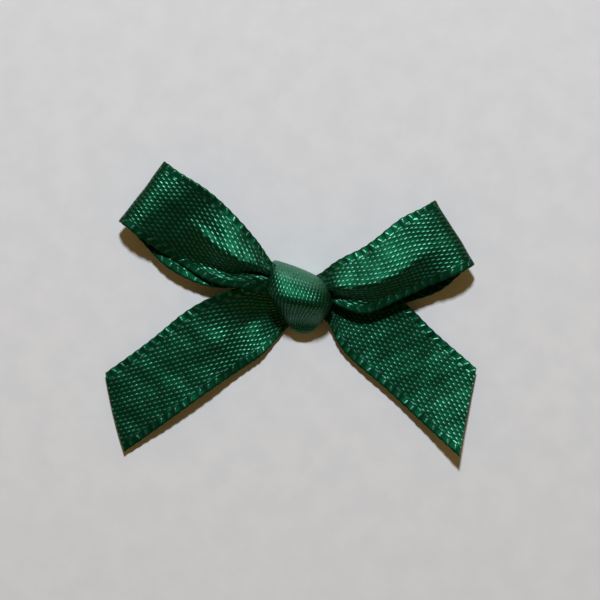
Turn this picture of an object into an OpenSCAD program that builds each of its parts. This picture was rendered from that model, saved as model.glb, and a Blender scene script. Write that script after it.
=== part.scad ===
// Pre-tied ribbon bow, lying on its back.
// One satin ribbon makes the whole bow. It is drawn here span by span, in the order in which it is tied:
// tail, loop, crossing, wrap, loop, tail. Each span is its own closed solid.
// The bow lies in the X-Y plane with its front towards +Z. The origin is the middle of the knot's flat back.

/* [Ribbon] */
// Width of the ribbon laid flat
ribbon_w = 7; // [6.5:0.1:7.2]
// Thickness of the ribbon
ribbon_t = 0.25; // [0.2:0.05:0.3]

/* [Knot] */
// Thickness of the knot, back to front
knot_t = 4.4; // [4.3:0.1:5]
// Height of the wrap between its two bends
wrap_h = 6.6; // [6.4:0.1:7]
// Width of the wrap over its top bend
wrap_top_w = 5.2; // [5:0.1:5.4]
// Width of the wrap under its bottom bend
wrap_bottom_w = 2.6; // [2.4:0.1:3]
// Turn of the wrap about the knot's axis, clockwise
wrap_skew = 8; // [6:1:9]

/* [Loops] */
// Radius of the bend at the far end of a loop
bend_r = 1.3; // [1.2:0.05:1.4]
// Slope of the ply where it runs into that bend
bend_slope = 14; // [10:1:16]
// Roll of the loops, which lifts their lower edges
loop_roll = 8; // [4:1:9]
// Length of the left loop, hinge to far end
left_loop_len = 13.2; // [12:0.1:14]
// Heading of the left loop from +X
left_loop_heading = 145.5; // [143:0.5:148]
// Length of the right loop, hinge to far end
right_loop_len = 11.9; // [11:0.1:13]
// Heading of the right loop from +X
right_loop_heading = 23; // [20:0.5:24]
// Width of the gathered neck of a loop
neck_w = 2.3; // [2.1:0.1:2.4]
// Thickness of the gathered neck of a loop
neck_t = 1.6; // [1.4:0.1:1.7]

/* [Tails] */
// Heading of the left tail from +X
left_tail_heading = 216; // [214:1:218]
// Length of the left tail's short edge, from its flex line
left_tail_short = 11.1; // [10:0.1:12]
// Length of the left tail's long edge, from its flex line
left_tail_long = 13.9; // [13:0.1:15]
// Heading of the right tail from +X
right_tail_heading = -43; // [-45:1:-41]
// Length of the right tail's short edge, from its flex line
right_tail_short = 8.4; // [8:0.1:9]
// Length of the right tail's long edge, from its flex line
right_tail_long = 12.7; // [12:0.1:13]

/* [Hidden] */
$fn = 96;

satin = [0.03, 0.36, 0.21];         // the ribbon's green where it is lit
satin_shade = [0.02, 0.26, 0.16];   // the same green inside the knot and the loops
tall = 30;                          // taller or wider than any ribbon span, for trimming solids
arc_fn = 360;                       // segments in a large, shallow bend

// Knot
front_corner_r = 2;                 // round the front of the bundle
back_corner_r = 1;                  // tighter, so that the back lies flat
wrap_split_z = 1.2;                 // the wrap's front span ends here and its back span starts
wrap_shift = -0.15;                 // the wrap's top sits a little to the left
neck_z = knot_t / 2;                // height of both necks and of the loops' hinges
crossing_size = [3.6, 3.6, 0.6];    // the strand that crosses under the wrap
crossing_gap = 0.2;                 // from the necks to that strand

// Loops. A hinge is where the gathered neck leaves the wrap and starts to open out.
left_hinge = [-3.56, 2.45];
right_hinge = [3.34, 1.5];
neck_clear = 0.13;                  // free space round the neck's rounded end
ply_start_angle = 34;               // the plies leave the neck this far above and below it
ply_gap = 0.12;                     // from the end of the front ply to the bend
loop_open_x = 4.8;                  // the gathers have opened out by this distance from the hinge

// Tails. Each flexes along a line that is clear of the loop above it.
left_flex = [-6.63, -2.9];
left_flex_z = 0.45;
left_tail_rise = 0.55;              // the cut end's height over the flex line
left_tail_sag = 0.35;               // the depth of the curve between the two
right_flex = [7.56, -3.22];
right_flex_z = 0.78;
right_tail_rise = 1.35;
right_tail_sag = 0.5;
flex_gap = 0.15;                    // each side of a tail's flex line
left_root_plan = [[0.9, 0.9], [-2.6, 1.6], [-5.4, 1.1]];    // root's upper edge, inside the knot to the flex line
left_root_under = [[-1.7, -1.9], [0.9, -1.6]];              // and back along its lower edge
right_root_plan = [[-0.9, 1], [2.2, 1.1], [5.4, 1]];
right_root_under = [[3.9, -4.46], [2.7, -2.7], [2.2, -1.5], [-0.9, -1.4]];

// A point at radius r and angle a about c.
function polar(c, r, a) = c + r * [cos(a), sin(a)];
// The direction from a to b, in degrees.
function bearing(a, b) = atan2(b[1] - a[1], b[0] - a[0]);
// The end of a flex line on one side (+1 or -1) of its middle.
function flex_end(middle, heading, side) = polar(middle, ribbon_w / 2, heading + side * 90);

// Part of a disc, wide enough to trim a ring of radius r.
module sector(r, a0, a1) {
    steps = 6;
    polygon(concat([[0, 0]], [for (i = [0 : steps]) polar([0, 0], 2 * r, a0 + (a1 - a0) * i / steps)]));
}

// The ribbon seen edge-on, bent round a centre from angle a0 to angle a1.
module bent_strip(centre, r, a0, a1) {
    translate(centre) intersection() {
        difference() {
            circle(r + ribbon_t / 2, $fn = arc_fn);
            circle(r - ribbon_t / 2, $fn = arc_fn);
        }
        sector(r, a0, a1);
    }
}

// A rounded box outline with its own radius at the front and back corners, standing on y = 0.
module knot_outline(w, h, front_r, back_r) {
    for (side = [-1, 1]) {
        translate([side * (w / 2 - front_r), h - front_r]) circle(front_r);
        translate([side * (w / 2 - back_r), back_r]) circle(back_r);
    }
    translate([-w / 2 + back_r, 0]) square([w - 2 * back_r, h / 2]);
    translate([-w / 2, back_r]) square([w, h - front_r - back_r]);
    translate([-w / 2 + front_r, h / 2]) square([w - 2 * front_r, h / 2]);
}

// The closed turn of ribbon round the bundle, narrowing towards the bottom.
module wrap_ring() {
    t = ribbon_t;
    rotate(-wrap_skew) intersection() {
        rotate([90, 0, 90]) linear_extrude(height = tall, center = true) difference() {
            knot_outline(wrap_h, knot_t, front_corner_r, back_corner_r);
            translate([0, t]) knot_outline(wrap_h - 2 * t, knot_t - 2 * t, front_corner_r - t, back_corner_r - t);
        }
        linear_extrude(height = tall, center = true) polygon([
            [wrap_shift - wrap_top_w / 2, wrap_h], [wrap_shift - wrap_top_w / 2, 0.4],
            [-wrap_bottom_w / 2, -wrap_h / 2], [-wrap_bottom_w / 2, -wrap_h],
            [wrap_bottom_w / 2, -wrap_h], [wrap_bottom_w / 2, -wrap_h / 2],
            [wrap_shift + wrap_top_w / 2, -0.6], [wrap_shift + wrap_top_w / 2, wrap_h],
        ]);
    }
}

module knot_wrap_front() {
    color(satin) intersection() {
        wrap_ring();
        translate([-tall / 2, -tall / 2, wrap_split_z]) cube(tall);
    }
}

module knot_wrap_back() {
    color(satin_shade) intersection() {
        wrap_ring();
        translate([-tall / 2, -tall / 2, wrap_split_z - tall]) cube(tall);
    }
}

module knot_crossing() {
    color(satin_shade) rotate(-wrap_skew)
        translate([-crossing_size[0] / 2, -crossing_size[1] / 2, neck_z + neck_t / 2 + crossing_gap])
            cube(crossing_size);
}

// The gathered neck of a loop: a bar through the wrap with a rounded end on the hinge. side is -1 left, +1 right.
module neck(hinge, heading, side) {
    seam = 0.03; // the two necks meet in the middle of the knot with this much space each
    color(satin_shade) intersection() {
        translate([hinge[0], hinge[1], neck_z]) rotate(heading) {
            rotate([90, 0, 0]) cylinder(h = neck_w, d = neck_t, center = true);
            translate([-norm(hinge) - neck_w, -neck_w / 2, -neck_t / 2]) cube([norm(hinge) + neck_w, neck_w, neck_t]);
        }
        translate([side > 0 ? seam : -seam - tall, -tall / 2, -tall / 2]) cube(tall);
    }
}

module left_neck() { neck(left_hinge, left_loop_heading, -1); }
module right_neck() { neck(right_hinge, right_loop_heading, 1); }

// A span of a loop from its side view, trimmed to its plan and rolled about the loop's own length.
module loop_span(hinge, heading, roll, plan) {
    translate([hinge[0], hinge[1], neck_z]) rotate([0, 0, heading]) rotate([roll, 0, 0]) intersection() {
        rotate([90, 0, 0]) linear_extrude(height = tall, center = true) children();
        linear_extrude(height = tall, center = true) polygon(plan);
    }
}

// Side view of a ply: one arc from the neck that runs smoothly into the bend. len is the loop's length.
module ply_side(len, gap) {
    start = polar([0, 0], neck_t / 2 + neck_clear + ribbon_t / 2, ply_start_angle);
    bend_centre = [len - bend_r - ribbon_t / 2, 0];
    up = [sin(bend_slope), cos(bend_slope)];
    end = bend_centre + bend_r * up;
    chord = end - start;
    r = chord * chord / (2 * chord * up);
    centre = end - r * up;
    bent_strip(centre, r, bearing(centre, end) + gap / r * 180 / PI, bearing(centre, start));
}

// Side view of the bend at the far end.
module bend_side(len) {
    bent_strip([len - bend_r - ribbon_t / 2, 0], bend_r, bend_slope - 90, 90 - bend_slope);
}

// Plan of a loop in its own frame: gathered at the neck and open to the ribbon's full width.
// near and far give how wide the two edges have opened, as a share, halfway along the gathers.
function loop_plan(len, near, far) = let (n = neck_w / 2 + 0.25, w = ribbon_w / 2, m = loop_open_x / 2) [
    [0, -n], [m, -n - (w - n) * near], [loop_open_x, -w], [len + 1, -w],
    [len + 1, w], [loop_open_x, w], [m, n + (w - n) * far], [0, n],
];
left_plan = loop_plan(left_loop_len, 0.6, 0.75);
right_plan = loop_plan(right_loop_len, 0.95, 0.35);

module left_loop_front() {
    color(satin) loop_span(left_hinge, left_loop_heading, loop_roll, left_plan) ply_side(left_loop_len, ply_gap);
}
module left_loop_bend() {
    color(satin) loop_span(left_hinge, left_loop_heading, loop_roll, left_plan) bend_side(left_loop_len);
}
module left_loop_back() {
    color(satin_shade) loop_span(left_hinge, left_loop_heading, loop_roll, left_plan)
        mirror([0, 1]) ply_side(left_loop_len, 0);
}
module right_loop_front() {
    color(satin) loop_span(right_hinge, right_loop_heading, -loop_roll, right_plan) ply_side(right_loop_len, ply_gap);
}
module right_loop_bend() {
    color(satin) loop_span(right_hinge, right_loop_heading, -loop_roll, right_plan) bend_side(right_loop_len);
}
module right_loop_back() {
    color(satin_shade) loop_span(right_hinge, right_loop_heading, -loop_roll, right_plan)
        mirror([0, 1]) ply_side(right_loop_len, 0);
}

// The flat start of a tail, from inside the knot to just short of the flex line.
module tail_root(flex, heading, z, upper, lower) {
    back = polar([0, 0], flex_gap, heading + 180);
    side = cos(heading) < 0 ? -1 : 1; // which side of the tail its upper edge is on
    color(satin) translate([0, 0, z - ribbon_t / 2]) linear_extrude(height = ribbon_t) polygon(concat(
        upper,
        [flex_end(flex, heading, side) + back, flex_end(flex, heading, -side) + back],
        lower
    ));
}

module left_tail_root() {
    tail_root(left_flex, left_tail_heading, left_flex_z, left_root_plan, left_root_under);
}
module right_tail_root() {
    tail_root(right_flex, right_tail_heading, right_flex_z, right_root_plan, right_root_under);
}

// The free part of a tail: a shallow sagging arc that rises to the slanted cut.
// edge_a is the length along its -Y edge and edge_b along its +Y edge, in the tail's own frame.
module tail(flex, heading, z, edge_a, edge_b, rise, sag) {
    len = max(edge_a, edge_b);
    start = [flex_gap, 0];
    end = [len, rise];
    half = norm(end - start) / 2;
    r = (half * half + sag * sag) / (2 * sag);
    centre = (start + end) / 2 + (r - sag) * [-(end - start)[1], (end - start)[0]] / (2 * half);
    color(satin) translate([flex[0], flex[1], z]) rotate(heading) intersection() {
        rotate([90, 0, 0]) linear_extrude(height = tall, center = true)
            bent_strip(centre, r, bearing(centre, start), bearing(centre, end));
        linear_extrude(height = tall, center = true)
            polygon([[0, -ribbon_w / 2], [edge_a, -ribbon_w / 2], [edge_b, ribbon_w / 2], [0, ribbon_w / 2]]);
    }
}

module left_tail() {
    tail(left_flex, left_tail_heading, left_flex_z, left_tail_short, left_tail_long, left_tail_rise, left_tail_sag);
}
module right_tail() {
    tail(right_flex, right_tail_heading, right_flex_z, right_tail_long, right_tail_short, right_tail_rise,
         right_tail_sag);
}

knot_wrap_front();
knot_wrap_back();
knot_crossing();
left_neck();
right_neck();
left_tail_root();
right_tail_root();
left_loop_front();
left_loop_bend();
left_loop_back();
right_loop_front();
right_loop_bend();
right_loop_back();
left_tail();
right_tail();
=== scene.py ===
# %% [markdown]
# # A small satin bow, tied from one ribbon
# The bow is one length of 7 mm satin ribbon: two loops, a knot with a wrap round it, and two tails.
# Cloth simulation could tie a real knot, but a knot 5 mm across needs very fine cloth and many tries.
# Here each span of the ribbon is a surface worked out from a few cross-sections, as a boat's hull is
# lofted from its frames. The ribbon is 7 mm wide everywhere, so where the bow is pinched narrow the
# spare width makes a fold, and beside the knot, where a fold can't take it all, the rest is gathered.

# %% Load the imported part
import math

import bpy
import numpy as np
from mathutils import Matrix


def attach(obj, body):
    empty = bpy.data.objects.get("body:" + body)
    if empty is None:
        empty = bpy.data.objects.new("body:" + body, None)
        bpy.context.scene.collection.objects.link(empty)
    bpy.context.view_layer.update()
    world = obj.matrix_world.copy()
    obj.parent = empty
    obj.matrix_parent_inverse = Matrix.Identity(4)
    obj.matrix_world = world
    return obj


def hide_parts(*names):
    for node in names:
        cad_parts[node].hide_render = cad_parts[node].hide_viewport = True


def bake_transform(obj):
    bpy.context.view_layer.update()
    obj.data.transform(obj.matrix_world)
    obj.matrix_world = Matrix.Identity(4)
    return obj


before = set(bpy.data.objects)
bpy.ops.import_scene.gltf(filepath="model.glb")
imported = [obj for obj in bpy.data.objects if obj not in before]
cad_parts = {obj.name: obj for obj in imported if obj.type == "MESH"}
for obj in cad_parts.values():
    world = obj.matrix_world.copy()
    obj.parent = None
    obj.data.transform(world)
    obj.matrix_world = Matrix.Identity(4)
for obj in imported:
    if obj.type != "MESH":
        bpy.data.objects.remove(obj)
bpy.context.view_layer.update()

MM = 0.001

# %% [markdown]
# ## The ribbon's own facts
# Sizes are in millimetres up to the point where a mesh is written, which is in metres. Satin shows rows
# of short bright floats. Each pick of weft is 0.44 mm from the next, and the place where it is bound
# steps sideways, so the rows lean about 21 degrees to the ribbon's length. The weave could be left to
# the material alone, but the mesh and the material both need these numbers, so they are named once,
# here.

# %% Ribbon sizes and weave
WIDTH = 7.0
THICK = 0.22
EDGE = 0.14            # width of the rounding at each edge
PICK = 0.44            # spacing of the picks along the ribbon
REPEAT = 0.425         # spacing of the floats across it
LEAN = 0.386           # how far a row of floats drifts across, per millimetre along
SELVEDGE = 0.8         # width of the woven edge
LOOP_PITCH = 2 * PICK  # the weft turns round the edge every second pick
STEP = 0.08            # spacing of the mesh along the ribbon
INNER_COLUMNS = 84     # mesh columns on the flat of the ribbon
EDGE_COLUMNS = 5       # and round each of its edges


def across_places():
    """Places across the ribbon, from -3.5 to 3.5: even on the flat, and closer together at each edge.

    Round an edge they follow a sine, so that they are evenly spaced along the quarter circle.
    """
    edge = WIDTH / 2 - EDGE * (1 - np.sin(np.linspace(0, math.pi / 2, EDGE_COLUMNS)))
    inner = np.linspace(-edge[0], edge[0], INNER_COLUMNS)
    return np.concatenate([-edge[:0:-1], inner, edge[1:]])


ACROSS = across_places()
print("mesh columns across the ribbon:", len(ACROSS))

# %% [markdown]
# ## Cross-sections
# A cross-section runs from one edge of the ribbon to the other. Flat ribbon is a straight line. Ribbon
# that a knot squeezes stands up in a ridge and comes down in a valley. Its folds are given as shares of
# the way across, with their heights compared with each other, and all the heights grow together until
# the line is 7 mm long, or until the folds are as high as they may be. Drawing each cross-section point
# by point would also do, but its width would have to be measured every time.

# %% Measuring and softening a line
SAMPLES = 400          # points on a finely drawn line


def unit(vector):
    """The vector divided by its length."""
    vector = np.asarray(vector, float)
    return vector / np.linalg.norm(vector)


def run_of(line):
    """Distance along a line at each of its points, starting from 0."""
    return np.concatenate([[0], np.cumsum(np.linalg.norm(np.diff(line, axis=0), axis=1))])


def softened(line, reach):
    """The line with rounded corners: each place becomes a bell-weighted mean of the places near it."""
    run = run_of(line)
    even = np.linspace(0, run[-1], SAMPLES)
    line = np.stack([np.interp(even, run, column) for column in line.T], axis=1)
    count = max(1, int(reach / (run[-1] / (SAMPLES - 1))))
    bell = np.exp(-0.5 * (np.arange(-2 * count, 2 * count + 1) / count) ** 2)
    before = 2 * line[0] - line[2 * count:0:-1]
    after = 2 * line[-1] - line[-2:-2 * count - 2:-1]
    padded = np.concatenate([before, line, after])
    return np.stack([np.convolve(column, bell / bell.sum(), "valid") for column in padded.T], axis=1)


corner = softened(np.array([[0.0, 0.0], [1.0, 0.0], [1.0, 1.0]]), 0.1)
print("two sides of a 1 mm square, with the corner rounded, mm:", round(run_of(corner)[-1], 2))

# %% Folded cross-section
HALVINGS = 20          # steps in the search for the height of the folds
SHOULDER = 0.58        # height half-way up to the first fold, as a share of the fold's own


def section(first, last, up=(0, 0, 1), folds=(), limit=0.0, soft=0.16):
    """Points across the ribbon from its first edge to its last, folded as high as 7 mm of ribbon needs.

    Height is found by halving: the line's length grows with height, and the search stops at 7 mm or at limit.
    Where limit stops it, the spare ribbon is taken to be gathered between the first fold and the last.
    """
    first, last = np.asarray(first, float), np.asarray(last, float)
    width = np.linalg.norm(last - first)
    across = (last - first) / width
    up = np.asarray(up, float)
    up = unit(up - (up @ across) * across)
    shares = np.array([0, *[share for share, _ in folds], 1])
    heights = np.array([0, *[height for _, height in folds], 0])

    def side_view(size):
        """The folded line at one height: places across and heights, with its corners rounded."""
        places = np.insert(shares * width, 1, shares[1] * width / 2)
        lifted = np.insert(heights * size, 1, SHOULDER * heights[1] * size)
        return softened(np.stack([places, lifted], axis=1), soft)

    low, high = 0.0, limit
    for _ in range(HALVINGS):
        size = (low + high) / 2
        low, high = (size, high) if run_of(side_view(size))[-1] < WIDTH else (low, size)
    line = side_view(high)
    run = run_of(line)
    on_ribbon, on_line = [0, WIDTH], [0, run[-1]]
    if len(folds) > 1 and run[-1] < WIDTH:
        ridge, valley = np.interp(shares[[1, -2]] * width, line[:, 0], run)
        on_ribbon = [0, ridge, WIDTH - (run[-1] - valley), WIDTH]
        on_line = [0, ridge, valley, run[-1]]
    wanted = np.interp(ACROSS + WIDTH / 2, on_ribbon, on_line)
    along, height = (np.interp(wanted, run, column) for column in line.T)
    return first + along[:, None] * across + height[:, None] * up


sample = section((0, 0, 0), (5, 0, 0), folds=((0.4, 1), (0.8, -0.5)), limit=4.0)
print("ribbon folded into 5 mm, its length in mm:", round(run_of(sample)[-1], 2))

# %% [markdown]
# ## Lofting
# A smooth curve is carried through the same place of every cross-section: a natural cubic spline, the
# curve that a thin springy batten takes when it is held at a few points. All the columns share one set
# of distances, so the ribbon's weave isn't sheared. Blender's own surfaces could be drawn through the
# cross-sections too, but they don't keep those distances.


# %% Batten curve
def batten(marks, points):
    """Second derivatives of the natural cubic through points at marks.

    They are zero at both ends, and at every other mark the slope before it equals the slope after it.
    """
    gaps = np.diff(marks)
    n = len(marks)
    rows = np.eye(n)
    bend = np.zeros_like(points)
    for i in range(1, n - 1):
        rows[i, i - 1:i + 2] = gaps[i - 1], 2 * (gaps[i - 1] + gaps[i]), gaps[i]
        slope_after = (points[i + 1] - points[i]) / gaps[i]
        slope_before = (points[i] - points[i - 1]) / gaps[i - 1]
        bend[i] = 6 * (slope_after - slope_before)
    return np.linalg.solve(rows, bend.reshape(n, -1)).reshape(points.shape)


print("second derivatives of a batten through 0, 1, 0:", batten(np.arange(3.0), np.array([0.0, 1.0, 0.0])))


# %% Loft
def loft(sections, start=None, end=None):
    """Surface through the cross-sections: a grid of points, with the distance along the ribbon of each.

    start and end may be one distance per column, for a slanted end. A point is the cubic between its two
    neighbouring cross-sections: a straight mix of the two plus a bend from the batten's second derivatives.
    """
    net = np.stack(sections)
    marks = np.concatenate([[0], np.cumsum(np.linalg.norm(np.diff(net, axis=0), axis=2).mean(axis=1))])
    second = batten(marks, net)
    columns = np.arange(net.shape[1])
    start = np.zeros(len(columns)) if start is None else np.broadcast_to(start, len(columns))
    end = np.full(len(columns), marks[-1]) if end is None else np.broadcast_to(end, len(columns))
    rows = int(round((end - start).max() / STEP)) + 1
    share = np.linspace(0, 1, rows)[:, None]
    place = start + share * (end - start)
    k = np.clip(np.searchsorted(marks, place, side="right") - 1, 0, len(marks) - 2)
    gap = (marks[k + 1] - marks[k])[..., None]
    b = (place - marks[k])[..., None] / gap
    a = 1 - b
    mix = a * net[k, columns] + b * net[k + 1, columns]
    bend = ((a ** 3 - a) * second[k, columns] + (b ** 3 - b) * second[k + 1, columns]) * gap ** 2 / 6
    return mix + bend, place, marks


# %% [markdown]
# ## From a surface to a woven ribbon
# The surface is the ribbon's middle. The satin face is raised from it by half the thickness and by the
# weave's own relief, and the back is lowered by a little less. The relief could be bump only, but as
# geometry it is there in the mesh itself and on the outline too. The edges are rounded and slightly
# scalloped, because the weft turns back there every second pick.

# %% Weave relief
FLOAT_HEIGHT = 0.012   # how far the floats stand above the mean face, and the gaps below it
TURN_HEIGHT = 0.014    # the same for the weft's turns in the selvedge
SCALLOP = 0.022        # how far the turns push the edge in and out
SCALLOP_REACH = 0.35   # how far in from the edge the push is felt
BACK_RELIEF = 0.5      # relief of the back, as a share of the face's
HANDLING = 0.03        # height of a wave left by handling, times 2 pi over its length


def ease(low, high, x):
    """0 below low, 1 above high, and a smooth S between."""
    t = np.clip((x - low) / (high - low), 0, 1)
    return t * t * (3 - 2 * t)


def float_relief(along, across):
    """Height of the satin floats, -1 to 1: three cosine waves that meet in phase once per float.

    One wave runs along the rows, one along the picks and one between them. Their weights add up to 1.
    """
    row = 2 * math.pi * (across + LEAN * along) / REPEAT
    pick = 2 * math.pi * along / PICK
    return 0.45 * np.cos(row) + 0.35 * np.cos(row - pick) + 0.2 * np.cos(pick)


def selvedge_relief(along):
    """Height of the weft's turns along the edge, -1 to 1: rounded blocks with narrow dips between."""
    blockiness = 1.6
    return np.tanh(blockiness * np.cos(2 * math.pi * along / LOOP_PITCH))


def normals_of(grid):
    """Unit normals of a grid: the cross product of the steps along and across."""
    normal = np.cross(np.gradient(grid, axis=0), np.gradient(grid, axis=1))
    return normal / np.linalg.norm(normal, axis=2, keepdims=True)


def handled(along, across):
    """Height of the soft waves that handling leaves in a ribbon, mm: a few sines that cross at odd angles.

    Each row below is one wave: radians per mm along, radians per mm across, and where it starts. A long
    wave is higher than a short one, so that all of them tilt the cloth by the same small angle.
    """
    waves = ((2.1, 0.5, 0.3), (1.3, -1.1, 1.7), (3.1, 1.4, 4.0), (0.6, 2.3, 2.2), (4.3, -1.9, 5.1))
    return sum(HANDLING / math.hypot(a, b) * np.sin(along * a + across * b + c) for a, b, c in waves)


print("floats side by side across the face:", round((WIDTH - 2 * SELVEDGE) / REPEAT, 1))


# %% Front and back of the ribbon
def woven_surface(middle, along, gather):
    """Front and back grids of a ribbon: its middle grid, pushed out along the normal by thickness and relief.

    The rounding of an edge is a quarter circle: the root of 1 - (depth into the edge / its width) squared.
    Ribbon that is gathered, with gather above 1, is drawn taut, so handling leaves no waves in it.
    """
    across = np.broadcast_to(ACROSS, along.shape)
    if gather == 1.0:
        middle = middle + handled(along, across)[..., None] * normals_of(middle)
    normal = normals_of(middle)
    d_across = np.gradient(middle, axis=1)
    sideways = d_across / np.linalg.norm(d_across, axis=2, keepdims=True)
    edge = np.abs(across)
    border = WIDTH / 2 - SELVEDGE
    in_selvedge = ease(border - 0.1, border + 0.1, edge)
    rounding = np.sqrt(np.clip(1 - (np.clip(edge - WIDTH / 2 + EDGE, 0, EDGE) / EDGE) ** 2, 0, 1))
    floats = float_relief(along * gather, across * gather)
    turns = selvedge_relief(along)
    relief = FLOAT_HEIGHT * (1 - in_selvedge) * floats + TURN_HEIGHT * in_selvedge * turns
    scallop = SCALLOP * ease(WIDTH / 2 - SCALLOP_REACH, WIDTH / 2, edge) * np.sign(across) * turns
    middle = middle + scallop[..., None] * sideways
    half = (THICK / 2 * rounding)[..., None]
    lift = (relief * rounding)[..., None]
    return middle + (half + lift) * normal, middle - (half + BACK_RELIEF * lift) * normal


# %% [markdown]
# ## One closed solid
# A real ribbon has a face, a back, two edges and two cut ends. A flat sheet with a Solidify modifier
# would give them too, but its back couldn't have a relief of its own. Here the two grids share their
# edge columns, and a row of narrow faces closes each end. Every vertex remembers its place in the
# weave, for the material to read.


# %% Ribbon mesh
def ribbon_piece(name, middle, along, closed=False, gather=1.0, inward=None, tight_and_sheen=0.0):
    """A closed solid from a middle grid: front grid, back grid, shared edges, and a cap at each end.

    Each vertex keeps two attributes. "ribbon" is its place in the weave: mm along, mm across, and +1 for the
    face or -1 for the back. gather crowds the weave. "lie" is its distance in from the edge, in mm, and a
    share from 0 to 1 of how stretched the cloth is, which also marks where the material paints a sheen.
    """
    front, back = woven_surface(middle, along, gather)
    rows, columns = along.shape
    face = np.arange(rows * columns).reshape(rows, columns)
    rear = face.copy()
    rear[:, 1:-1] = rows * columns + np.arange(rows * (columns - 2)).reshape(rows, columns - 2)
    points = np.concatenate([front.reshape(-1, 3), back[:, 1:-1].reshape(-1, 3)]) * MM
    across = np.broadcast_to(ACROSS, along.shape)
    inward = WIDTH / 2 - np.abs(across) if inward is None else np.full(along.shape, inward)
    tight_and_sheen = np.broadcast_to(tight_and_sheen, along.shape)
    side = np.ones(along.shape)
    face_weave = np.stack([along * gather, across * gather, side], axis=2)
    back_weave = np.stack([along * gather, across * gather, -side], axis=2)
    lie = np.stack([inward, tight_and_sheen, 0 * side], axis=2)
    after = np.roll(np.arange(rows), -1) if closed else np.arange(1, rows)
    here = np.arange(rows) if closed else np.arange(rows - 1)

    def quads(grid, flip):
        """Faces of one grid, wound to look along the normal, or away from it when flipped."""
        corners = [grid[here, :-1], grid[after, :-1], grid[after, 1:], grid[here, 1:]]
        corners = corners[::-1] if flip else corners
        return np.stack([c.ravel() for c in corners], axis=1).tolist()

    faces = quads(face, False) + quads(rear, True)
    if not closed:
        for row, flip in ((0, False), (rows - 1, True)):
            f, r = face[row], rear[row]
            cap = [[f[0], f[1], r[1]]]
            cap += np.stack([f[1:-2], f[2:-1], r[2:-1], r[1:-2]], axis=1).tolist()
            cap += [[f[-2], f[-1], r[-2]]]
            faces += [c[::-1] for c in cap] if flip else cap
    mesh = bpy.data.meshes.new(name)
    mesh.from_pydata(points.tolist(), [], [[int(i) for i in f] for f in faces])
    for title, front_mark, back_mark in (("ribbon", face_weave, back_weave), ("lie", lie, lie)):
        marks = np.concatenate([front_mark.reshape(-1, 3), back_mark[:, 1:-1].reshape(-1, 3)])
        mesh.attributes.new(title, "FLOAT_VECTOR", "POINT").data.foreach_set("vector", marks.ravel())
    mesh.shade_smooth()
    mesh.set_sharp_from_angle(angle=math.radians(60))
    piece = bpy.data.objects.new(name, mesh)
    bpy.context.collection.objects.link(piece)
    length = run_of(middle[:, columns // 2])[-1]
    lowest = points[:, 2].min() / MM
    print(f"{name}: {len(faces)} faces, {length:.1f} mm long down its middle, lowest at {lowest:.2f} mm")
    return piece


# %% [markdown]
# ## The bend at the end of a loop
# A loop's far end isn't creased: the ribbon rolls over in half an ellipse. A bevelled curve could make
# it, but then it would be a piece of its own, and the ribbon must run through. Five cross-sections on
# the ellipse are enough for the batten curve to follow.

# %% Bend
BEND_STOPS = (72, 38, 0, -38, -72)      # degrees up or down from the tip of the ellipse


def bend_sections(first, last, heading, reach, rise):
    """Cross-sections round half an ellipse, from the front ply to the back. first and last are its tip.

    A place on it is reach times the cosine outward and rise times the sine upward, and it faces along the
    ellipse's own normal: the cosine over reach, and the sine over rise.
    """
    outward = np.array([math.cos(math.radians(heading)), math.sin(math.radians(heading)), 0])
    found = []
    for angle in BEND_STOPS:
        turn = math.radians(angle)
        move = reach * (math.cos(turn) - 1) * outward + np.array([0, 0, rise * math.sin(turn)])
        facing = math.cos(turn) / reach * outward + np.array([0, 0, math.sin(turn) / rise])
        found.append(section(np.asarray(first) + move, np.asarray(last) + move, facing))
    return found


print("cross-sections in a bend:", len(BEND_STOPS))


# %% [markdown]
# ## Left loop
# The larger loop is the ribbon going out, rolling over and coming home underneath. It could be a sheet
# of cloth pinned at the knot and simulated, but then its folds would fall where chance puts them. Here
# each row is one cross-section: the upper edge, the lower edge, and the folds between them. The front
# ply has one ridge and one valley that fade out towards the bend, and the back ply bulges gently the
# other way.

# %% Left loop
DOWN = (0, 0, -1)
left_front = [
    section((-0.9, 2.3, 2.3), (-0.9, 0.9, 2.2), folds=((0.35, 1), (0.50, -0.4), (0.62, 0.2)), limit=0.4),
    section((-2.35, 3.15, 2.95), (-2.8, 0.45, 2.6),
            folds=((0.34, 1), (0.43, -0.3), (0.54, 0.35)), limit=0.65),
    section((-3.1, 4.2, 2.85), (-4.7, 0.8, 2.7), folds=((0.40, 1), (0.56, -0.25), (0.64, 0.2)), limit=1.05),
    section((-3.91, 5.35, 2.7), (-7.0, 1.15, 2.3), folds=((0.45, 1), (0.75, -0.25), (0.84, 0.05)), limit=1.4),
    section((-5.46, 7.15, 2.9), (-9.3, 2.1, 1.7), folds=((0.48, 1), (0.80, -0.15), (0.9, -0.1)), limit=1.5),
    section((-8.46, 9.92, 3.1), (-12.3, 4.05, 1.8), folds=((0.52, 1), (0.84, -0.1), (0.93, -0.1)), limit=0.7),
]
left_bend = bend_sections((-12.15, 12.38, 1.95), (-16.33, 6.92, 1.9), 142.6, 1.35, 0.85)
left_back = [
    section((-8.5, 9.1, 1.2), (-12.65, 3.3, 1.35), DOWN, ((0.5, 1),), 0.3),
    section((-5.7, 6.6, 1.3), (-9.3, 1.35, 1.4), DOWN, ((0.5, 1),), 0.5),
    section((-4.2, 4.9, 1.6), (-7.0, 0.9, 1.8), DOWN, ((0.5, 1),), 0.2),
    section((-3.2, 3.7, 1.9), (-4.7, 0.95, 2.4), DOWN, ((0.5, 1),), 0.1),
    section((-2.4, 2.8, 2.0), (-2.8, 0.7, 2.3), DOWN, ((0.4, 1),), 0.1),
    section((-0.9, 2.0, 1.8), (-0.9, 0.8, 1.9), DOWN, ((0.4, 1),), 0.1),
]
middle, along, _ = loft(left_front + left_bend + left_back)
left_loop = ribbon_piece("left_loop_ribbon", middle, along)

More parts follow.
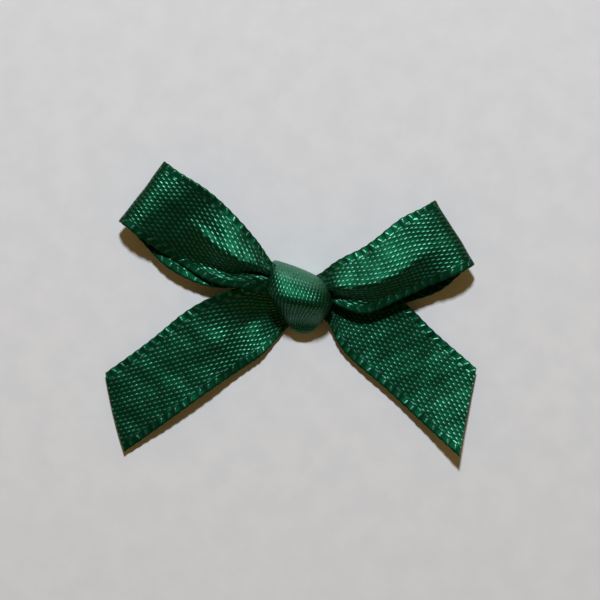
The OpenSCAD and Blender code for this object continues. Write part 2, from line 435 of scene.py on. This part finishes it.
# %% [markdown]
# ## Right loop
# The right loop is smaller and turned less. It is made in the same way, but it is listed from its back
# ply to its front one, so that the satin face is again on the outside.

# %% Right loop
right_back = [
    section((0.9, 1.5, 1.5), (0.9, 0.3, 1.5), DOWN, ((0.4, 1),), 0.2),
    section((2.0, 1.9, 1.5), (2.7, -0.3, 1.5), DOWN, ((0.4, 1),), 0.3),
    section((2.8, 2.5, 1.45), (4.2, -0.9, 1.5), DOWN, ((0.4, 1),), 0.4),
    section((3.9, 3.3, 1.35), (6.2, -1.4, 1.45), DOWN, ((0.4, 1),), 0.4),
    section((7.6, 5.2, 1.15), (10.0, -0.4, 1.25), DOWN, ((0.4, 1),), 0.3),
    section((10.4, 7.3, 1.05), (13.4, 1.0, 1.15), DOWN, ((0.4, 1),), 0.2),
]
right_bend = bend_sections((12.33, 8.87, 1.85), (15.93, 3.0, 1.95), 31.5, 1.3, 0.85)[::-1]
right_front = [
    section((9.19, 7.19, 2.7), (12.1, 1.25, 2.6), folds=((0.6, 1), (0.9, 0.1)), limit=0.5),
    section((7.37, 5.73, 2.7), (10.2, 0.35, 2.55), folds=((0.64, 1), (0.88, 0.0)), limit=0.9),
    section((5.55, 4.46, 2.6), (8.0, -0.75, 2.35), folds=((0.60, 1), (0.84, 0.0)), limit=1.2),
    section((3.73, 3.55, 2.4), (5.7, -1.42, 2.1), folds=((0.54, 1), (0.72, -0.02)), limit=1.3),
    section((2.7, 2.85, 2.2), (4.0, -0.9, 2.1), folds=((0.54, 1), (0.70, -0.05)), limit=1.2),
    section((2.0, 2.3, 2.0), (2.8, -0.35, 2.0), folds=((0.55, 1), (0.72, -0.1)), limit=0.9),
    section((0.9, 1.9, 2.0), (0.9, 0.3, 2.0), folds=((0.5, 1), (0.7, -0.3)), limit=0.4),
]
middle, along, _ = loft(right_back + right_bend + right_front)
right_loop = ribbon_piece("right_loop_ribbon", middle, along)

# %% [markdown]
# ## Left tail
# A tail is the ribbon's free end, cut on the slant. It leaves the knot high and comes down to the table
# in a slanting hollow, so near the knot its upper edge stands up and its cross-section sags. A Boolean
# cutter could trim the end, but it would spoil the rows of the mesh. Instead each column of the mesh
# stops at its own distance.


# %% Left tail
def cut_distances(at_first, at_last, bow):
    """Distance along the ribbon at which each column ends: straight from edge to edge, plus a sine bow."""
    share = (ACROSS + WIDTH / 2) / WIDTH
    return at_first + share * (at_last - at_first) + bow * np.sin(math.pi * share)


left_tail_sections = [
    section((0.6, 0.9, 1.5), (0.5, -1.4, 0.75), folds=((0.5, -1),), limit=0.3, soft=0.3),
    section((-2.4, 1.0, 1.95), (-1.05, -2.7, 0.3), folds=((0.85, -1),), limit=0.1, soft=0.3),
    section((-5.2, 1.0, 2.15), (-3.1, -4.95, 0.75), folds=((0.54, -1),), limit=1.05, soft=0.3),
    section((-8.37, -0.09, 1.35), (-4.4, -5.95, 0.8), folds=((0.34, -1),), limit=0.85, soft=0.2),
    section((-12.65, -3.09, 0.8), (-8.6, -8.8, 1.3)),
    section((-17.7, -6.83, 0.65), (-13.65, -12.45, 0.85)),
    section((-20.0, -8.45, 0.35), (-15.95, -14.05, 0.6)),
]
_, _, marks = loft(left_tail_sections)
middle, along, _ = loft(left_tail_sections, end=cut_distances(marks[-2], marks[-1], 0.15))
left_tail = ribbon_piece("left_tail_ribbon", middle, along)

# %% [markdown]
# ## Right tail
# The other free end lies almost flat and lifts towards its tip. Being nearly flat, it needs only six
# cross-sections: a shallow sag in the first three, where the knot holds it, and then straight lines.

# %% Right tail
SLANT = 4.27           # how much shorter the right tail's second edge is than its first
right_tail_sections = [
    section((-0.6, -1.2, 0.9), (-0.6, 0.9, 0.9), folds=((0.5, -1),), limit=0.2),
    section((2.2, -1.9, 0.9), (2.6, 1.3, 0.9), folds=((0.5, -1),), limit=0.2),
    section((3.6, -4.2, 0.75), (7.6, 0.7, 0.9), folds=((0.5, -1),), limit=0.2),
    section((7.05, -7.55, 0.85), (11.72, -2.43, 0.5)),
    section((10.4, -10.6, 1.0), (15.15, -5.5, 0.65)),
    section((14.6, -14.47, 1.85), (19.2, -9.3, 1.4)),
]
_, _, marks = loft(right_tail_sections)
middle, along, _ = loft(right_tail_sections, end=cut_distances(marks[-1], marks[-1] - SLANT, 0.0))
right_tail = ribbon_piece("right_tail_ribbon", middle, along)

# %% [markdown]
# ## Knot
# The wrap is a turn of ribbon drawn taut round the bundle. It could be sculpted from a ball, but then
# the weave wouldn't follow it. Its cross-section is a pillow: the flattened arch of a superellipse,
# with both edges tucked down against what it holds. It is steep behind, gentle on top and steep in
# front, and it narrows towards the bottom, where the bundle is thinnest. Where it is stretched over the
# top of the bundle the floats close up, and there, on the side towards the lamp, a bright sheen is
# painted into the colour.


# %% Arched cross-section
def pillow(left, right, top, power=2.6):
    """An arch from the left edge to the right one, through top.

    Its height is lift times (1 - |x|^power)^(1/power), x from -1 to 1. A higher power is a squarer arch.
    """
    left, right, top = (np.asarray(place, float) for place in (left, right, top))
    x = np.sin(np.linspace(-math.pi / 2, math.pi / 2, SAMPLES))[:, None]
    arch = (1 - np.abs(x) ** power) ** (1 / power)
    line = left + (x + 1) / 2 * (right - left) + arch * (top - (left + right) / 2)
    run = run_of(line)
    wanted = (ACROSS + WIDTH / 2) / WIDTH * run[-1]
    return np.stack([np.interp(wanted, run, column) for column in line.T], axis=1)


arch_length = run_of(pillow((-1, 0, 0), (1, 0, 0), (0, 0, 1)))[-1]
print("length of an arch 2 mm wide and 1 mm high:", round(arch_length, 2), "mm")

# %% Wrap round the knot
CROWDING = 1.4         # the wrap's 7 mm are squeezed into less, so its weave is this much denser
FROM_EDGE = 2.0        # the selvedges are tucked out of sight, so all of it counts as well in from the edge
OVERLAP = 3            # cross-sections repeated before the turn and after it, to join it smoothly
TIGHT_AND_SHEEN_FROM = 0.9       # where the wrap begins to be stretched, and a sheen to be painted on, towards the far side and the lamp
TIGHT_AND_SHEEN_TO = 2.4         # and where both are full
wrap_turn = [
    pillow((-2.2, 3.25, 1.3), (2.15, 1.5, 1.3), (0.1, 2.6, 1.6), 2.0),
    pillow((-2.4, 3.15, 2.1), (2.35, 1.35, 2.0), (0.1, 2.4, 2.75), 2.2),
    pillow((-2.55, 2.6, 2.5), (2.5, 0.9, 2.3), (0.0, 2.05, 3.45)),
    pillow((-2.7, 1.9, 2.7), (2.7, 0.4, 2.4), (0.0, 1.3, 3.95)),
    pillow((-2.85, 1.1, 2.7), (2.85, 0.05, 2.4), (0.05, 0.3, 4.35)),
    pillow((-2.75, 0.5, 2.6), (2.95, -0.35, 2.3), (0.1, -0.4, 4.4)),
    pillow((-2.25, -0.15, 2.0), (2.85, -0.8, 1.9), (0.2, -0.95, 3.95)),
    pillow((-1.7, -1.05, 1.5), (2.45, -1.45, 1.4), (0.25, -1.7, 2.9)),
    pillow((-1.2, -1.9, 1.1), (1.85, -2.2, 1.0), (0.35, -2.45, 1.75)),
    pillow((-0.75, -2.5, 1.0), (1.2, -2.65, 0.9), (0.35, -3.1, 1.2)),
    pillow((-0.7, -2.4, 0.5), (1.0, -2.5, 0.5), (0.25, -3.0, 0.6)),
    pillow((-1.2, -1.6, 0.35), (1.3, -1.5, 0.35), (0.1, -1.6, 0.17)),
    pillow((-1.9, 0.2, 0.35), (1.8, -0.1, 0.35), (0.0, 0.0, 0.17)),
    pillow((-2.1, 1.8, 0.4), (2.0, 1.0, 0.4), (0.0, 1.5, 0.2)),
    pillow((-2.1, 2.7, 0.75), (2.0, 1.3, 0.75), (0.0, 2.45, 0.65)),
]
around = wrap_turn[-OVERLAP:] + wrap_turn + wrap_turn[:OVERLAP + 1]
_, _, marks = loft(around)
middle, along, _ = loft(around, start=marks[OVERLAP], end=marks[OVERLAP + len(wrap_turn)])
middle, along = middle[:-1], along[:-1]
# This share marks where the wrap is stretched over its top, towards the lamp, and where the material paints a
# bright sheen.
tight_and_sheen = ease(TIGHT_AND_SHEEN_FROM, TIGHT_AND_SHEEN_TO, middle[..., 1] + 0.4 * middle[..., 0])
knot_wrap = ribbon_piece(
    "knot_wrap_ribbon", middle, along, closed=True, gather=CROWDING, inward=FROM_EDGE, tight_and_sheen=tight_and_sheen
)

# %% [markdown]
# ## Inside the knot
# Under the wrap the ribbon crosses from one loop to the other, crumpled narrow. It hardly shows, so
# three cross-sections with a ridge and a valley are enough. It could be left out, but then the knot
# would be hollow.

# %% Strand that crosses inside the knot
crumpled = ((0.4, 1), (0.6, -1))
crossing_sections = [
    section((-1.6, 1.9, 2.6), (-1.2, 0.2, 2.6), folds=crumpled, limit=0.3),
    section((-0.2, 1.3, 3.0), (-0.1, -0.7, 3.0), folds=crumpled, limit=0.3),
    section((1.3, 0.9, 2.6), (1.4, -1.0, 2.6), folds=crumpled, limit=0.3),
]
middle, along, _ = loft(crossing_sections)
crossing = ribbon_piece("crossing_strand", middle, along)

# %% [markdown]
# ## Node helpers
# A material is a net of small nodes. They could be added and linked by hand in the Shader Editor, but a
# weave needs dozens of the same few, so each kind gets a short function that adds one node and returns
# its output.


# %% Small helpers for node maths
def maths(tree, operation, *values):
    """One Math node. Each value is a number or another node's output, and the result is the node's output."""
    node = tree.nodes.new("ShaderNodeMath")
    node.operation = operation
    for socket, value in zip(node.inputs, values):
        if isinstance(value, (int, float)):
            socket.default_value = value
        else:
            tree.links.new(value, socket)
    return node.outputs[0]


def mapped(tree, value, low, high):
    """A smooth S from 0 at low to 1 at high."""
    node = tree.nodes.new("ShaderNodeMapRange")
    node.interpolation_type = "SMOOTHSTEP"
    for socket, number in zip(node.inputs[1:5], (low, high, 0.0, 1.0)):
        socket.default_value = number
    tree.links.new(value, node.inputs[0])
    return node.outputs[0]


def mixed(tree, share, first, second):
    """A colour between two, each a tuple or an output."""
    node = tree.nodes.new("ShaderNodeMix")
    node.data_type = "RGBA"
    tree.links.new(share, node.inputs[0])
    for socket, colour in ((node.inputs[6], first), (node.inputs[7], second)):
        if isinstance(colour, tuple):
            socket.default_value = (*colour, 1)
        else:
            tree.links.new(colour, socket)
    return node.outputs[2]


def blend_values(tree, share, first, second):
    """first where share is 0, second where it is 1."""
    node = tree.nodes.new("ShaderNodeMix")
    for socket, value in zip((node.inputs[0], node.inputs[2], node.inputs[3]), (share, first, second)):
        if isinstance(value, float):
            socket.default_value = value
        else:
            tree.links.new(value, socket)
    return node.outputs[0]


def noise(tree, vector, scale, detail):
    """A Noise Texture's value at a vector."""
    node = tree.nodes.new("ShaderNodeTexNoise")
    node.inputs["Scale"].default_value = scale
    node.inputs["Detail"].default_value = detail
    tree.links.new(vector, node.inputs["Vector"])
    return node.outputs[0]


# %% [markdown]
# ## The weave as a pattern
# Satin is bright because long warp floats lie side by side on its face, and a small ribbon shows each
# of them as a short bright stroke. An image texture could carry them, but it would blur close up. Here
# each stroke is worked out: a lattice gives the nearest float, and a few random numbers move it and
# make it brighter or duller. The woven edge has its own pattern. The weft turns back there every second
# pick, with a dash inside each turn.

# %% Lattice and luck
JITTER_ALONG = 0.07    # how far luck moves a float along the ribbon, from one extreme to the other
JITTER_ACROSS = 0.05   # the same across it


def nearest(tree, value, spacing, shift=0.0):
    """Distance from the nearest of evenly spaced marks, and its number. shift is a share of the spacing."""
    moved = maths(tree, "ADD", maths(tree, "DIVIDE", value, spacing), 0.5 + shift)
    share = maths(tree, "SUBTRACT", maths(tree, "FRACT", moved), 0.5)
    return maths(tree, "MULTIPLY", share, spacing), maths(tree, "FLOOR", moved)


def chance(tree, first, second, third=0.0):
    """Three random numbers, 0 to 1, that stay the same for the same whole numbers."""
    seed = tree.nodes.new("ShaderNodeCombineXYZ")
    for socket, value in zip(seed.inputs, (first, second, third)):
        if isinstance(value, float):
            socket.default_value = value
        else:
            tree.links.new(value, socket)
    white = tree.nodes.new("ShaderNodeTexWhiteNoise")
    tree.links.new(seed.outputs[0], white.inputs["Vector"])
    split = tree.nodes.new("ShaderNodeSeparateColor")
    tree.links.new(white.outputs["Color"], split.inputs[0])
    return split.outputs


def jittered(tree, value, luck, reach):
    """The value moved by luck, by up to half of reach either way."""
    return maths(tree, "MULTIPLY_ADD", luck, reach, maths(tree, "SUBTRACT", value, reach / 2))


def between(tree, luck, low, high):
    """low + luck * (high - low)."""
    return maths(tree, "MULTIPLY_ADD", luck, high - low, low)


def spot(tree, x, y, half_x, half_y):
    """A long dome, flat along and round across: 1 - (x / half_x)^4 - (y / half_y)^2, and never below 0."""
    x = maths(tree, "POWER", maths(tree, "ABSOLUTE", maths(tree, "DIVIDE", x, half_x)), 4.0)
    y = maths(tree, "DIVIDE", y, half_y)
    fall = maths(tree, "MULTIPLY_ADD", y, y, x)
    return maths(tree, "MAXIMUM", maths(tree, "SUBTRACT", 1.0, fall), 0.0)


# %% Floats
FLOAT_HALF = (0.2, 0.10)          # half the length and half the width of a float
FLOAT_TURN = -0.7 * LEAN          # each float lies at its own slant, against the lean of its row
FLOAT_LIGHT = (0.45, 1.25)        # brightness of the dullest float and of the brightest


def floats(tree, along, across, side):
    """The satin floats and their brightness: one long dome in each cell of the slanted lattice."""
    x, pick_number = nearest(tree, along, PICK)
    y, row_number = nearest(tree, maths(tree, "MULTIPLY_ADD", along, LEAN, across), REPEAT)
    luck = chance(tree, pick_number, row_number, side)
    y = maths(tree, "MULTIPLY_ADD", x, FLOAT_TURN, y)
    x = jittered(tree, x, luck[0], JITTER_ALONG)
    y = jittered(tree, y, luck[1], JITTER_ACROSS)
    return spot(tree, x, y, *FLOAT_HALF), between(tree, luck[2], *FLOAT_LIGHT)


# %% Selvedge
TURN_HALF = (0.24, 0.13)          # half the length, across the edge, and half the width of a turn of weft
TURN_CENTRE = (0.27, 0.39)        # how far in from the edge its middle lies, at least and at most
TURN_JITTER = 0.16                # how far luck moves it along the edge, from one extreme to the other
TURN_SLANT = (-0.15, 0.85)        # its slant, at least and at most
TURN_PIVOT = 0.34                 # how far in from the edge it turns about
TURN_LIGHT = (0.4, 1.6)           # its brightness, at least and at most
DASH_HALF = (0.24, 0.11)          # half the length, along the edge, and half the width of the dash inside it
DASH_IN = 0.72                    # how far in from the edge the dash lies
DASH_SHIFT = 0.42                 # how far it is shifted along from a turn, as a share of LOOP_PITCH
DASH_LIGHT = (0.5, 1.4)           # its brightness, at least and at most
GAP_SHIFT = 0.5                   # the dark gap is half-way between turns
GAP_HALF = (0.3, 0.36)            # half its sizes, along and in from the edge
GAP_IN = 0.36                     # how far in from the edge its middle lies


def selvedge(tree, along, across, inward):
    """The woven edge: a slanting turn of weft every second pick, a dash inside it, and dark gaps between."""
    x, number = nearest(tree, along, LOOP_PITCH)
    luck = chance(tree, number, maths(tree, "SIGN", across))
    x = jittered(tree, x, luck[0], TURN_JITTER)
    slant = between(tree, luck[2], *TURN_SLANT)
    slanting = maths(tree, "MULTIPLY_ADD", maths(tree, "SUBTRACT", inward, TURN_PIVOT), slant, x)
    centre = between(tree, luck[1], *TURN_CENTRE)
    turn = spot(tree, maths(tree, "SUBTRACT", inward, centre), slanting, *TURN_HALF)
    turn = maths(tree, "MULTIPLY", turn, between(tree, luck[1], *TURN_LIGHT))
    dash_x, _ = nearest(tree, along, LOOP_PITCH, DASH_SHIFT)
    dash = spot(tree, dash_x, maths(tree, "SUBTRACT", inward, DASH_IN), *DASH_HALF)
    dash = maths(tree, "MULTIPLY", dash, between(tree, luck[2], *DASH_LIGHT))
    gap_x, _ = nearest(tree, along, LOOP_PITCH, GAP_SHIFT)
    gap = spot(tree, gap_x, maths(tree, "SUBTRACT", inward, GAP_IN), *GAP_HALF)
    return maths(tree, "MAXIMUM", turn, dash), gap


print("picks to a turn of the weft:", round(LOOP_PITCH / PICK))

# %% [markdown]
# ## Satin
# The ribbon is polyester satin: its filaments shine almost like metal, in their own green, and the
# ground between the floats is nearly black where no light comes straight back from it. A plain glossy
# green would look like plastic. So the base is a nearly metallic one, rough between the floats and
# smoother on them, and the floats and filaments also tilt the light with a bump. The material reads the
# attributes "ribbon" and "lie", so the weave follows the cloth round every bend and never slides.

# %% Reading an attribute
def attribute(tree, title):
    """The attribute's vector and its three numbers."""
    place = tree.nodes.new("ShaderNodeAttribute")
    place.attribute_name = title
    parts = tree.nodes.new("ShaderNodeSeparateXYZ")
    tree.links.new(place.outputs["Vector"], parts.inputs[0])
    return place.outputs["Vector"], parts.outputs


# %% Satin material
FILAMENTS = (2.5, 11.0)           # filament noise: scale along the ribbon and across it, per mm
CLOUDS = 0.5                      # scale of the soft clouds where the dye and the lie of the yarn change
BACK_DULLNESS = 0.5               # how much of a float shows on the back of the ribbon
EDGE_STRENGTH = 1.3               # brightness of the selvedge's turns
GROUND_ROUGH = 0.5                # roughness between the floats
TIGHT_ROUGH = 0.55                # and where the cloth is tight
BUMP_DEPTH = 0.015                # height of the bump, mm


def satin(name, deep, bright, painted_sheen, gloss):
    """Satin, from its colours between and on the floats, a painted sheen for stretched cloth, and the floats'
    gloss.
    """
    material = bpy.data.materials.new(name)
    material.use_nodes = True
    tree = material.node_tree
    shader = tree.nodes["Principled BSDF"]
    place, (along, across, side) = attribute(tree, "ribbon")
    _, (inward, tight_and_sheen, _) = attribute(tree, "lie")
    in_selvedge = mapped(tree, inward, SELVEDGE + 0.08, SELVEDGE - 0.08)
    face = mapped(tree, side, -0.2, 0.2)
    dome, luck = floats(tree, along, across, side)
    dome = maths(tree, "MULTIPLY", dome, blend_values(tree, face, BACK_DULLNESS, 1.0))
    on_edge, gap = selvedge(tree, along, across, inward)
    crest = blend_values(tree, in_selvedge, dome, on_edge)
    strength = blend_values(tree, in_selvedge, luck, EDGE_STRENGTH)

    # Filaments are noise drawn out along the ribbon. Clouds are the same noise, larger and not drawn out.
    stretch = tree.nodes.new("ShaderNodeCombineXYZ")
    tree.links.new(maths(tree, "MULTIPLY", along, FILAMENTS[0]), stretch.inputs[0])
    tree.links.new(maths(tree, "MULTIPLY", across, FILAMENTS[1]), stretch.inputs[1])
    tree.links.new(side, stretch.inputs[2])
    filament = noise(tree, stretch.outputs[0], 1.0, 3.0)
    cloud = noise(tree, place, CLOUDS, 2.0)

    # A float shines and the ground between floats doesn't. Where the cloth is taut the floats close up,
    # and there, on the knot's top towards the lamp, a bright sheen is painted into the colour.
    shown = maths(tree, "MULTIPLY", mapped(tree, crest, 0.0, 0.55), strength)
    drawn = mapped(tree, filament, 0.25, 0.75)
    shown = blend_values(tree, tight_and_sheen, shown, drawn)
    grain = maths(tree, "MULTIPLY_ADD", filament, 0.16, maths(tree, "MULTIPLY_ADD", cloud, 0.10, -0.11))
    edge_gap = maths(tree, "MULTIPLY", gap, in_selvedge)
    grain = maths(tree, "SUBTRACT", grain, maths(tree, "MULTIPLY", edge_gap, 0.06))
    shade = maths(tree, "MINIMUM", maths(tree, "MAXIMUM", maths(tree, "ADD", grain, shown), 0.0), 1.3)
    # Painted sheen: on the knot's top, towards the lamp, the colour is mixed towards a bright green.
    colour = mixed(tree, maths(tree, "MULTIPLY", tight_and_sheen, drawn), mixed(tree, shade, deep, bright), painted_sheen)
    tree.links.new(colour, shader.inputs["Base Color"])
    tree.links.new(blend_values(tree, shown, 0.93, 1.0), shader.inputs["Metallic"])
    rough = blend_values(tree, tight_and_sheen, blend_values(tree, shown, GROUND_ROUGH, gloss), TIGHT_ROUGH)
    tree.links.new(rough, shader.inputs["Roughness"])
    shader.inputs["Specular IOR Level"].default_value = 0.02

    height = maths(tree, "MULTIPLY_ADD", filament, 0.3, blend_values(tree, tight_and_sheen, crest, 0.5))
    bump = tree.nodes.new("ShaderNodeBump")
    bump.inputs["Strength"].default_value = 1.0
    bump.inputs["Distance"].default_value = BUMP_DEPTH * MM
    tree.links.new(height, bump.inputs["Height"])
    tree.links.new(bump.outputs[0], shader.inputs["Normal"])
    return material


# The third colour is a painted sheen for the knot's top, which faces the lamp.
satin_face = satin("satin_face", (0.0017, 0.053, 0.0195), (0.047, 0.155, 0.108), (0.15, 0.46, 0.31), 0.37)
for piece in (left_loop, right_loop, left_tail, right_tail, knot_wrap, crossing):
    piece.data.materials.append(satin_face)
print("nodes in satin_face:", len(satin_face.node_tree.nodes))

# %% [markdown]
# ## Which piece stands for which part
# On the real bow each loop and each tail bends where it leaves the knot. The ribbon could be split
# there, one piece to a body, but then it would tear at the hinge. It is one continuous piece; only the
# span over which it would bend is printed here, and no blend to the knot or to a loop or tail is set up.
# The wrap and the strand inside ride on the knot.


def flex(piece, joint, before, after):
    """Bakes the ribbon's placement into its mesh and prints the span, before and after the hinge, over which
    it would bend; no blend to a body is set up.
    """
    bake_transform(piece)
    print(f"{piece.name} bends over {before + after:.1f} mm at {joint}")


flex(left_loop, "left_loop_lift", before=0.8, after=3.0)
flex(right_loop, "right_loop_lift", before=0.8, after=3.0)
flex(left_tail, "left_tail_lift", before=1.6, after=2.4)
flex(right_tail, "right_tail_lift", before=1.6, after=2.4)
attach(knot_wrap, "knot")
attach(crossing, "knot")
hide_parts("left_loop_front", "left_loop_bend", "left_loop_back", "left_neck")
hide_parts("right_loop_front", "right_loop_bend", "right_loop_back", "right_neck")
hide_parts("left_tail", "left_tail_root")
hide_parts("right_tail", "right_tail_root")
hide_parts("knot_wrap_front", "knot_wrap_back")
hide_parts("knot_crossing")

# %% [markdown]
# ## Table
# The bow lies on plain pale card. It could be any backdrop, but a flat square, far larger than the bow,
# shows the shadows clearly, and a faint mottle keeps it from looking like plastic.

# %% Floor
HALF_TABLE = 0.6
corners = [(x * HALF_TABLE, y * HALF_TABLE, 0) for x, y in ((-1, -1), (1, -1), (1, 1), (-1, 1))]
floor_mesh = bpy.data.meshes.new("table")
floor_mesh.from_pydata(corners, [], [(0, 1, 2, 3)])
table = bpy.data.objects.new("table", floor_mesh)
bpy.context.collection.objects.link(table)
card = bpy.data.materials.new("pale_card")
card.use_nodes = True
card_tree = card.node_tree
card_shader = card_tree.nodes["Principled BSDF"]
card_shader.inputs["Roughness"].default_value = 0.9
card_shader.inputs["Specular IOR Level"].default_value = 0.1
coordinates = card_tree.nodes.new("ShaderNodeTexCoord")
mottle = mapped(card_tree, noise(card_tree, coordinates.outputs["Object"], 400.0, 4.0), 0.3, 0.7)
card_colour = mixed(card_tree, mottle, (0.76, 0.765, 0.78), (0.8, 0.8, 0.81))
card_tree.links.new(card_colour, card_shader.inputs["Base Color"])
table.data.materials.append(card)
print("table, metres across:", 2 * HALF_TABLE)

# %% [markdown]
# ## Light
# One small soft lamp stands above and behind the bow, so shadows fall towards the near side with a
# crisp edge. A second lamp could fill them, but it would put a second glint on every float. Instead the
# world glows: warm and dim low down, and almost black overhead, so that cloth turned up and away from
# the lamp stays deep green.

# %% Lamp
LAMP_LEAN = math.radians(35)      # from straight overhead towards the far side
LAMP_DISTANCE = 0.45              # metres
lamp_data = bpy.data.lights.new("key", "AREA")
lamp_data.shape = "DISK"
lamp_data.size = 0.05
lamp_data.energy = 1.74
lamp_data.color = (0.87, 0.93, 1.0)
lamp = bpy.data.objects.new("key", lamp_data)
lamp.location = (0, LAMP_DISTANCE * math.sin(LAMP_LEAN), LAMP_DISTANCE * math.cos(LAMP_LEAN))
lamp.rotation_euler = (-LAMP_LEAN, 0, 0)
bpy.context.collection.objects.link(lamp)
print("lamp, metres above the table:", round(lamp.location.z, 2))

# %% Surround
world = bpy.data.worlds.new("surround")
world.use_nodes = True
sky_tree = world.node_tree
background = sky_tree.nodes["Background"]
direction = sky_tree.nodes.new("ShaderNodeTexCoord")
upward = sky_tree.nodes.new("ShaderNodeSeparateXYZ")
sky_tree.links.new(direction.outputs["Generated"], upward.inputs[0])
overhead = mapped(sky_tree, upward.outputs[2], 0.45, 0.85)
room = mixed(sky_tree, overhead, (0.31, 0.19, 0.055), (0.025, 0.02, 0.012))
sky_tree.links.new(room, background.inputs[0])
background.inputs[1].default_value = 1.0
bpy.context.scene.world = world
bpy.context.scene.view_settings.view_transform = "Standard"
print("nodes in the surround:", len(sky_tree.nodes))

# %% [markdown]
# ## Camera
# The camera looks straight down, as it would from a copy stand. An orthographic camera could do the
# same, but a long lens shows the loops a little nearer than the tails, as a real one does.

# %% Camera
VIEW_WIDTH = 54.6 * MM            # what the picture takes in
CAMERA_HEIGHT = 0.36              # metres above the plane that is in scale
SCALE_PLANE = 2 * MM              # that plane, half-way up the bow
camera_data = bpy.data.cameras.new("camera")
camera_data.lens = camera_data.sensor_width * CAMERA_HEIGHT / VIEW_WIDTH
camera = bpy.data.objects.new("camera", camera_data)
camera.location = (0.09 * MM, -0.18 * MM, CAMERA_HEIGHT + SCALE_PLANE)
bpy.context.collection.objects.link(camera)
bpy.context.scene.camera = camera
print("lens, mm:", round(camera_data.lens))
